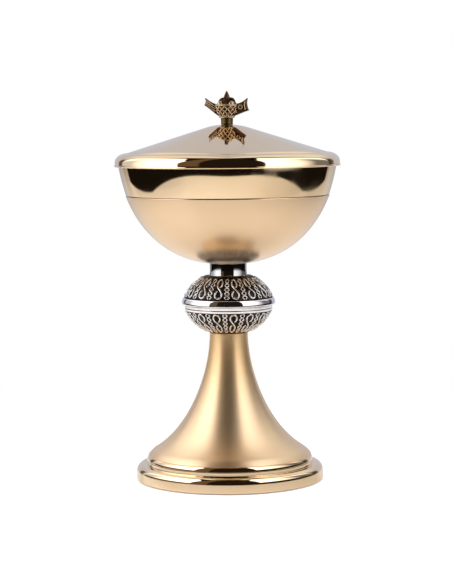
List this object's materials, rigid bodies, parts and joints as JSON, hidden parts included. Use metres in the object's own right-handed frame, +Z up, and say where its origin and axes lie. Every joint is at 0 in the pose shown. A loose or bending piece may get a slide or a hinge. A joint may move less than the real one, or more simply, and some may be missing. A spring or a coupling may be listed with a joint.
{
  "type": "ciborium",
  "caption": "Lidded ciborium: gilt cup in a satin calyx on a chased knob and trumpet foot, with a conical lid that lifts off and a cast finial.",
  "frame": {"origin": "centre of the base ring's flat underside", "axes": "+Z up along the vessel's axis, -Y towards the front, and +X to the right, roughly along the finial's broad arm"},
  "size_m": [0.1392, 0.1392, 0.24],
  "materials": {
    "polished_gilt": "mirror-polished gold plate",
    "satin_gilt": "satin gold plate, brushed round the axis",
    "polished_silver": "polished silver plate",
    "oxidised_silver": "chased silver plate, blackened in the ground and polished on the relief",
    "antique_brass": "polished cast brass, darkened in the hollows",
    "bright_brass": "turned brass"
  },
  "bodies": {
    "vessel": {"base_ring": "polished_gilt", "step_ring": "polished_gilt", "foot_shell": "satin_gilt", "stem_plug": "bright_brass", "tie_rod": "bright_brass", "tie_washer": "bright_brass", "tie_nut": "bright_brass", "knob_lower_shell": "oxidised_silver", "knob_band": "polished_silver", "knob_upper_shell": "oxidised_silver", "knob_sleeve": "bright_brass", "neck_collar": "polished_silver", "cup_calyx": "satin_gilt", "cup_bowl": "polished_gilt", "cup_boss": "bright_brass"},
    "lid": {"lid_shell": "polished_gilt", "lid_flange": "polished_gilt", "finial_collar": "antique_brass", "finial_casting": "antique_brass", "finial_stud": "bright_brass", "finial_washer": "bright_brass", "finial_nut": "bright_brass"}
  },
  "joints": [
    {"name": "lid_lift", "type": "slide", "parent": "vessel", "child": "lid", "axis": [0, 0, 1], "range_m": [0, 0.1]}
  ]
}
